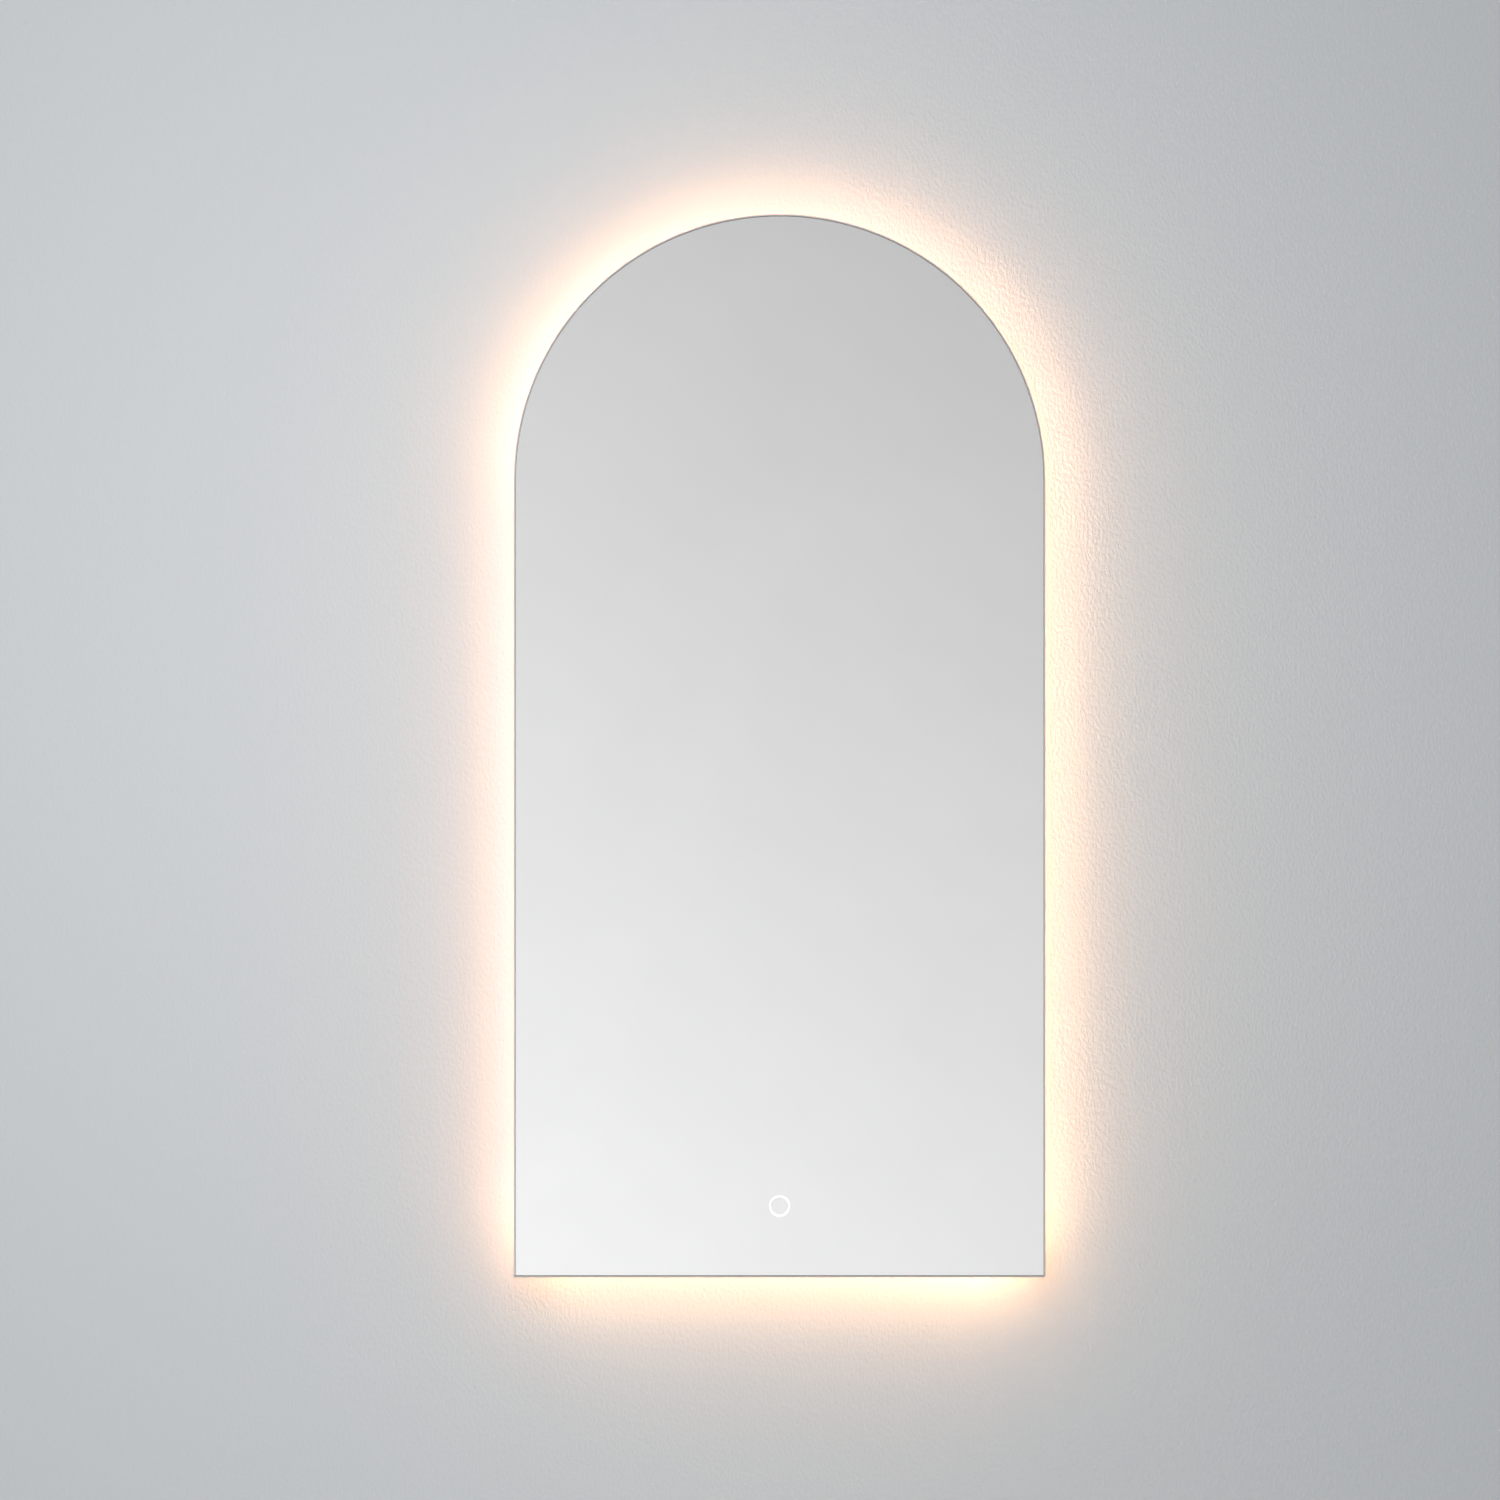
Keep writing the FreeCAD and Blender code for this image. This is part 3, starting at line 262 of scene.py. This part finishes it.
paints = {
    "clear": material("clear glass", grain(9.0, 2.0), (0.975, 0.978, 0.976), (0.985, 0.987, 0.986),
                      (0.0, 0.0), IOR=1.52, Transmission_Weight=1.0),
    "edge": material("polished glass edge", grain(650.0, 5.0, 0.7), (0.42, 0.52, 0.48), (0.56, 0.66, 0.62),
                     (0.12, 0.24), relief=0.10, depth=0.00005, IOR=1.52, Transmission_Weight=0.8),
    "arris": material("ground glass arris", grain(900.0, 5.0, 0.7), (0.66, 0.625, 0.61), (0.78, 0.745, 0.73),
                      (0.25, 0.38), relief=0.2, depth=0.00005, IOR=1.52, Transmission_Weight=0.2),
    "mirror": material("silver mirror", grain(14.0, 2.0), (0.930, 0.930, 0.930), (0.942, 0.942, 0.942),
                       (0.0, 0.0), Metallic=1.0),
    "film": material("grey safety film", embossed(0.0024), (0.36, 0.375, 0.39), (0.45, 0.465, 0.48),
                     (0.38, 0.5), relief=0.5, depth=0.00008, edges=(0.0, 1.0)),
    "foam": material("bonding foam", cells(1500.0), (0.70, 0.70, 0.68), (0.86, 0.86, 0.84), (0.8, 0.95),
                     relief=0.6, depth=0.0002, edges=(0.0, 0.7)),
    "alu_x": aluminium("aluminium, drawn along x", "x"),
    "alu_z": aluminium("aluminium, drawn along z", "z"),
    "alu_arch": aluminium("aluminium, drawn and bent", "arch"),
    "rivet": material("rivet aluminium", grain(800.0), (0.60, 0.61, 0.63), (0.74, 0.75, 0.77), (0.28, 0.42),
                      relief=0.15, depth=0.00005, Metallic=1.0),
    "zinc_plate": zinc("zinc plated sheet", 330.0),
    "zinc_screw": zinc("zinc plated screws", 900.0),
    "rubber": material("black rubber", grain(1100.0, 6.0, 0.7), (0.028, 0.028, 0.030), (0.055, 0.055, 0.058),
                       (0.68, 0.85), relief=0.3, depth=0.0001),
    "strip": material("white strip board", cells(700.0, distance="CHEBYCHEV"), (0.80, 0.79, 0.75),
                      (0.90, 0.89, 0.85), (0.35, 0.5), edges=(0.05, 0.5)),
    "chip": material("light chip phosphor", grain(2500.0), (0.90, 0.66, 0.20), (0.96, 0.80, 0.36),
                     (0.3, 0.45), Emission_Color=(1.0, 0.6, 0.25, 1.0), Emission_Strength=1.0),
    "opal": lit_opal("opal plastic", stray_glow, *glow["arch"][1:]),
    "lens": material("lit ring lens", grain(1500.0), (0.93, 0.93, 0.93), (0.97, 0.97, 0.97), (0.2, 0.3),
                     Emission_Color=(1.0, 1.0, 1.0, 1.0), Emission_Strength=0.76),
    "white": moulded("white moulded plastic", (0.84, 0.84, 0.82)),
    "driver": moulded("grey driver case", (0.70, 0.71, 0.72), (0.36, 0.46), 700.0, 0.08),
    "terminal": moulded("cream terminal plastic", (0.80, 0.76, 0.66), (0.34, 0.45), 2200.0, 0.12),
    "heater": material("amber heating film", grain(16.0, 3.0, 0.5), (0.60, 0.39, 0.12), (0.68, 0.47, 0.17),
                       (0.16, 0.24), relief=0.15, depth=0.0006, Coat_Weight=0.5, Coat_Roughness=0.08),
    "foil": material("etched foil track", grain(600.0), (0.55, 0.55, 0.54), (0.76, 0.76, 0.75), (0.26, 0.4),
                     relief=0.15, depth=0.00008, Metallic=1.0),
    "solder": material("solder", grain(500.0, 3.0), (0.62, 0.62, 0.61), (0.80, 0.80, 0.79), (0.16, 0.32),
                       relief=0.2, depth=0.00008, Metallic=1.0),
    "board": material("green switch board", cells(420.0, "DISTANCE_TO_EDGE"), (0.12, 0.36, 0.18),
                      (0.035, 0.19, 0.085), (0.25, 0.35), relief=0.25, depth=0.0001, edges=(0.05, 0.14)),
    "contact": material("conductive foam", cells(1800.0), (0.06, 0.06, 0.068), (0.13, 0.13, 0.14),
                        (0.75, 0.9), relief=0.5, depth=0.0002, edges=(0.0, 0.7)),
    "red": insulation("red insulation", (0.50, 0.035, 0.028)),
    "black": insulation("black insulation", (0.028, 0.028, 0.030)),
    "brown": insulation("brown insulation", (0.20, 0.085, 0.04)),
    "earth": material("green and yellow insulation", striped(0.006, (0.0, math.radians(40), 0.0)),
                      (0.07, 0.30, 0.05), (0.72, 0.62, 0.05), (0.36, 0.46), edges=(0.46, 0.54)),
}
for part, light in glow.items():
    paints["lit_" + part] = lit_opal("lit opal, " + part, *light)

node_paint = {
    "wall_bar": "alu_x", "bonding_tape": "foam", "chassis_arch": "alu_arch", "chassis_side_left": "alu_z",
    "chassis_side_right": "alu_z", "chassis_bottom": "alu_x", "corner_plate_left": "zinc_plate",
    "corner_plate_right": "zinc_plate", "splice_plate_left": "zinc_plate",
    "splice_plate_right": "zinc_plate", "chassis_screws": "zinc_screw", "wall_bumpers": "rubber",
    "upper_crossbar": "alu_x", "lower_crossbar": "alu_x", "crossbar_tape": "foam",
    "crossbar_rivets": "rivet", "hook_bar": "alu_x", "hook_end_caps": "rubber",
    "hook_bar_screws": "zinc_screw", "light_strip_loop": "strip", "light_strip_bottom": "strip",
    "light_chips_loop": "chip", "light_chips_bottom": "chip", "driver_box": "white",
    "driver_box_lid": "white", "lid_screws": "zinc_screw", "box_ear_screws": "zinc_screw",
    "box_tape": "foam", "light_driver": "driver", "terminal_block": "terminal", "cable_gland": "rubber",
    "mains_leads": "brown", "demister_pad": "heater", "demister_element": "foil", "touch_cover": "white",
    "touch_board": "board", "touch_board_lights": "chip", "touch_ring_lens": "lens",
    "touch_contact": "contact", "positive_wires": "red", "negative_wires": "black", "earth_wire": "earth",
    "earth_lug": "zinc_plate", "earth_screw": "zinc_screw", "wire_clips": "white",
    "wire_grommets": "rubber",
}


def dress(node, *names):
    """Puts materials on a CAD node, in the order in which its faces count them."""
    slots = nodes[node].data.materials
    slots.clear()
    for name in names:
        slots.append(paints[name])


def mark(node, *tests):
    """Gives each face of a CAD node the material of the first test it passes, or else its first one."""
    for face in nodes[node].data.polygons:
        passed = [index for index, test in enumerate(tests, 1) if test(face)]
        face.material_index = passed[0] if passed else 0


# A face is told by how much of its normal lies along an axis, and by how far its middle may be off
crosswise, mostly, squarely = 0.3, 0.9, 0.98
hair, slack, arc_slack = 0.0001, 0.0005, 0.0006

for node, paint in node_paint.items():
    dress(node, paint)

dress("mirror_glass", "clear", "edge", "arris")
mark("mirror_glass", lambda face: abs(face.normal.y) < crosswise, lambda face: abs(face.normal.y) < squarely)
dress("silver_backing", "film", "mirror")
mark("silver_backing", lambda face: face.normal.y < -squarely and face.center.y < silver_front_y + hair)

for side, facing in (("left", -1), ("right", 1)):
    dress("diffuser_" + side, "opal", "lit_" + side)
    mark("diffuser_" + side,
         lambda face: face.normal.x * facing > mostly and face.center.x * facing > outer_face - slack)
dress("diffuser_bottom", "opal", "lit_bottom")
mark("diffuser_bottom", lambda face: face.normal.z < -mostly and face.center.z < bottom_face + slack)
dress("diffuser_arch", "opal", "lit_arch")
mark("diffuser_arch",
     lambda face: math.hypot(face.center.x, face.center.z - arch_centre_z) > outer_face - arc_slack
     and abs(face.normal.y) < crosswise and face.center.z > arch_centre_z + hair)


# ---------------------------------------------------- small pieces at the back

def lofted(name, rings, paint, smooth):
    """A closed mesh through rings of points, which moves with the mirror."""
    shape = bmesh.new()
    loops = [[shape.verts.new(point) for point in ring] for ring in rings]
    for low, high in zip(loops, loops[1:]):
        for i in range(len(low)):
            shape.faces.new((low[i - 1], low[i], high[i], high[i - 1]))
    shape.faces.new(loops[0])
    shape.faces.new(loops[-1])
    bmesh.ops.recalc_face_normals(shape, faces=shape.faces)
    for face in shape.faces:
        face.smooth = smooth
    mesh = bpy.data.meshes.new(name)
    shape.to_mesh(mesh)
    shape.free()
    mesh.materials.append(paints[paint])
    made = bpy.data.objects.new(name, mesh)
    scene.collection.objects.link(made)
    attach(made, "mirror")


def solder_joint(name, x):
    """Solder drawn up round the end of a wire, on the end of the heating track."""
    foot_y, tip_y, z = -0.03275, -0.03075, -0.3750
    half_width, half_length, points = 0.00145, 0.0030, 28
    profile = [(1.0, 0.0), (0.88, 0.07), (0.77, 0.18), (0.69, 0.34), (0.62, 0.54), (0.52, 0.74),
               (0.37, 0.89), (0.2, 0.97), (0.06, 1.0)]
    turns = [2 * math.pi * i / points for i in range(points)]
    rings = [[(x + half_width * reach * math.cos(turn), foot_y + (tip_y - foot_y) * rise,
               z + half_length * reach * math.sin(turn)) for turn in turns] for reach, rise in profile]
    lofted(name, rings, "solder", True)


def lid_panel():
    """The raised field of the driver box's lid, with rounded corners and a small chamfer."""
    middle_z, half_width, half_height, corner = -0.488, 0.086, 0.031, 0.008
    sunk_y, shoulder_y, face_y, chamfer = -0.0101, -0.0097, -0.0094, 0.0004
    corner_steps = 8
    rings = []
    for inset, y in ((0.0, sunk_y), (0.0, shoulder_y), (chamfer, face_y)):
        ring = []
        for side_x, side_z, start in ((1, 1, 0), (-1, 1, 90), (-1, -1, 180), (1, -1, 270)):
            for step in range(corner_steps + 1):
                turn = math.radians(start + step * 90 / corner_steps)
                ring.append((side_x * (half_width - corner) + (corner - inset) * math.cos(turn), y,
                             middle_z + side_z * (half_height - corner) + (corner - inset) * math.sin(turn)))
        rings.append(ring)
    lofted("driver_lid_panel", rings, "white", False)


solder_joint("solder_joint_positive", -0.1145)
solder_joint("solder_joint_negative", -0.1030)
lid_panel()


# -------------------------------------------------------------- room and light

wall_reach = 1.6
wall_top = 1.1
wall_y = 0.0004                 # a hair behind the wall bar's face, so that the two don't lie in one plane
floor_z = -1.69
floor_reach = 3.4
floor_fade = (1.7, 3.3)         # where the floor begins to fade, and where it has gone
opening_half_width = 0.2195     # the wall is open behind the mirror's chassis
opening_bottom = -0.6615
painted_halo_tone = (0.0, -0.105, 0.04)     # painted light: what the wall's colour gains or loses at the glass outline, for the halo's tone there
painted_halo_reach = 0.036
painted_halo_corner = (0.02, 0.09)      # how far from a bottom corner the painted halo tone sets in, and where it is full
painted_halo_corner_share = 0.1


def plate(name, corners, paint):
    """One flat face of the stage."""
    mesh = bpy.data.meshes.new(name)
    mesh.from_pydata(corners, [], [tuple(range(len(corners)))])
    made = bpy.data.objects.new(name, mesh)
    scene.collection.objects.link(made)
    mesh.materials.append(paint)


def see_through(made, share):
    """Makes a material transparent by a share, which may change from place to place."""
    tree = made.node_tree
    inputs = {0: share, 1: tree.nodes["Principled BSDF"].outputs[0],
              2: add(tree, "BsdfTransparent").outputs[0]}
    feed(tree, tree.nodes["Material Output"], {"Surface": add(tree, "MixShader", inputs).outputs[0]})


def paint_halo_tone_round_glass(tree, x, z, reach):
    """Painted light: takes a little green from the wall's colour and adds a little blue close round the
    glass, but less at its corners, which keeps the halo cream. The halo's tone is painted into the wall here."""
    off_glass = calc(tree, "MAXIMUM", calc(tree, "SUBTRACT", reach, glass_half_width),
                     calc(tree, "SUBTRACT", glass_bottom, z))
    corner = hypotenuse(tree, calc(tree, "SUBTRACT", calc(tree, "ABSOLUTE", x), glass_half_width),
                        calc(tree, "SUBTRACT", z, glass_bottom))
    near = calc(tree, "MULTIPLY", spread(tree, off_glass, 0.0, painted_halo_reach, 1.0, 0.0),
                spread(tree, corner, *painted_halo_corner, painted_halo_corner_share, 1.0))
    painted_tone_factor = add(tree, "VectorMath", {0: near, 1: painted_halo_tone, 2: (1.0, 1.0, 1.0)}, operation="MULTIPLY_ADD")
    shader = tree.nodes["Principled BSDF"]
    color = shader.inputs["Base Color"].links[0].from_socket
    painted_tone_color = add(tree, "VectorMath", {0: color, 1: painted_tone_factor.outputs[0]}, operation="MULTIPLY")
    feed(tree, shader, {"Base Color": painted_tone_color.outputs[0]})


def wall_paint():
    """Pale rolled paint with a soft orange-peel skin. It is clear from behind, and open behind the mirror's
    chassis, so that the mirror's back can be seen and lit."""
    made = material("wall paint", rolled(380.0), (0.595, 0.623, 0.645), (0.607, 0.636, 0.658),
                    (0.55, 0.65), relief=0.5, depth=0.0016)
    tree = made.node_tree
    x, _, z = object_xyz(tree)
    rise = calc(tree, "MAXIMUM", calc(tree, "SUBTRACT", z, arch_centre_z), 0.0)
    reach = hypotenuse(tree, x, rise)
    inside = calc(tree, "MULTIPLY", calc(tree, "LESS_THAN", reach, opening_half_width),
                  calc(tree, "GREATER_THAN", z, opening_bottom))
    # painted light: the halo's tone is painted into the wall's colour close round the glass
    paint_halo_tone_round_glass(tree, x, z, reach)
    see_through(made, calc(tree, "MAXIMUM", add(tree, "NewGeometry").outputs["Backfacing"], inside))
    return made


def floor_paint():
    """Pale floor that fades into the studio far from the wall, so that the mirror shows no edge of it."""
    made = material("pale floor", grain(40.0, 4.0, 0.6), (0.84, 0.84, 0.83), (0.88, 0.88, 0.87), (0.5, 0.6),
                    relief=0.05, depth=0.0005)
    tree = made.node_tree
    x, y, _ = object_xyz(tree)
    see_through(made, spread(tree, hypotenuse(tree, x, y), *floor_fade))
    return made


plate("wall", [(-wall_reach, wall_y, floor_z), (wall_reach, wall_y, floor_z),
               (wall_reach, wall_y, wall_top), (-wall_reach, wall_y, wall_top)], wall_paint())
plate("floor", [(-floor_reach, -floor_reach, floor_z), (floor_reach, -floor_reach, floor_z),
                (floor_reach, wall_y, floor_z), (-floor_reach, wall_y, floor_z)], floor_paint())


def softbox(name, location, target, size, watts):
    """A soft rectangular lamp, aimed at a target, that the camera doesn't see."""
    light = bpy.data.lights.new(name, "AREA")
    light.shape = "RECTANGLE"
    light.size, light.size_y = size
    light.energy = watts
    made = bpy.data.objects.new(name, light)
    made.location = location
    aim = made.location - type(made.location)(target)
    made.rotation_mode = "QUATERNION"
    made.rotation_quaternion = aim.to_track_quat("Z", "Y")
    made.visible_camera = False
    scene.collection.objects.link(made)
    return made


key = softbox("key", (-0.3, -1.4, 0.0), (-0.6, 0.0, -0.2), (0.9, 1.6), 12.4)
key.visible_glossy = False          # the mirror shows the studio, not the lamp
key.visible_transmission = False
softbox("rear left", (-1.5, 2.0, 0.6), (0.0, 0.0, -0.2), (1.5, 1.5), 16.0)
softbox("rear right", (1.5, 2.0, 0.2), (0.0, 0.0, -0.2), (1.5, 1.5), 10.0)

# The studio: an even light for matt surfaces, and a soft gradient for what the mirror shows. The gradient's
# two ramps are in display tones, which the gamma turns into light.
backdrop = 0.64                 # what the camera sees beyond the wall and the floor
even = 0.52                     # what lights the matt surfaces
tone_gain, display_gamma, light_gain = 1.097, 2.2, 1.116
world = bpy.data.worlds.new("studio")
scene.world = world
world.use_nodes = True
sky = world.node_tree
direction = add(sky, "SeparateXYZ", {"Vector": add(sky, "TexCoord").outputs["Generated"]})
side = calc(sky, "MULTIPLY_ADD", direction.outputs["X"], 0.5, 0.5)
height = calc(sky, "MULTIPLY_ADD", direction.outputs["Z"], 0.5, 0.5)
across = ramp(sky, side, [(0.0, 0.76), (0.12, 0.72), (0.27, 0.62), (0.375, 0.82), (0.435, 0.917),
                          (0.565, 0.777), (0.65, 0.79), (0.8, 0.83), (1.0, 0.80)])
upward = ramp(sky, height, [(0.0, 0.6), (0.275, 0.83), (0.44, 1.0), (0.5, 0.912), (0.56, 0.823),
                            (0.725, 0.872), (1.0, 0.82)])
tone = calc(sky, "MULTIPLY", calc(sky, "MULTIPLY", across, upward), tone_gain)
seen = calc(sky, "MULTIPLY", calc(sky, "POWER", tone, display_gamma), light_gain)
path = add(sky, "LightPath")
shiny = calc(sky, "MAXIMUM", path.outputs["Is Glossy Ray"], path.outputs["Is Transmission Ray"])
behind = calc(sky, "MULTIPLY_ADD", path.outputs["Is Camera Ray"], backdrop - even, even)
level = add(sky, "Mix", {0: shiny, 2: behind, 3: seen}, data_type="FLOAT").outputs[0]
feed(sky, sky.nodes["Background"], {"Color": (1.0, 1.0, 1.0, 1.0), "Strength": level})


# ---------------------------------------------------------------------- camera

camera_distance = 4.2
frame_width = 1.410
sensor = 36.0
photo_width = 1500
shift_across, shift_up = -29.6, -4.2        # in pixels of the photograph
camera_data = bpy.data.cameras.new("camera")
camera_data.sensor_width = sensor
camera_data.lens = sensor * camera_distance / frame_width
camera_data.shift_x = shift_across / photo_width
camera_data.shift_y = shift_up / photo_width
camera = bpy.data.objects.new("camera", camera_data)
camera.location = (0.0, -camera_distance - glass_front_depth, mirror_centre_z)
camera.rotation_euler = (math.radians(90), 0.0, 0.0)
scene.collection.objects.link(camera)
scene.camera = camera

scene.view_settings.view_transform = "Standard"
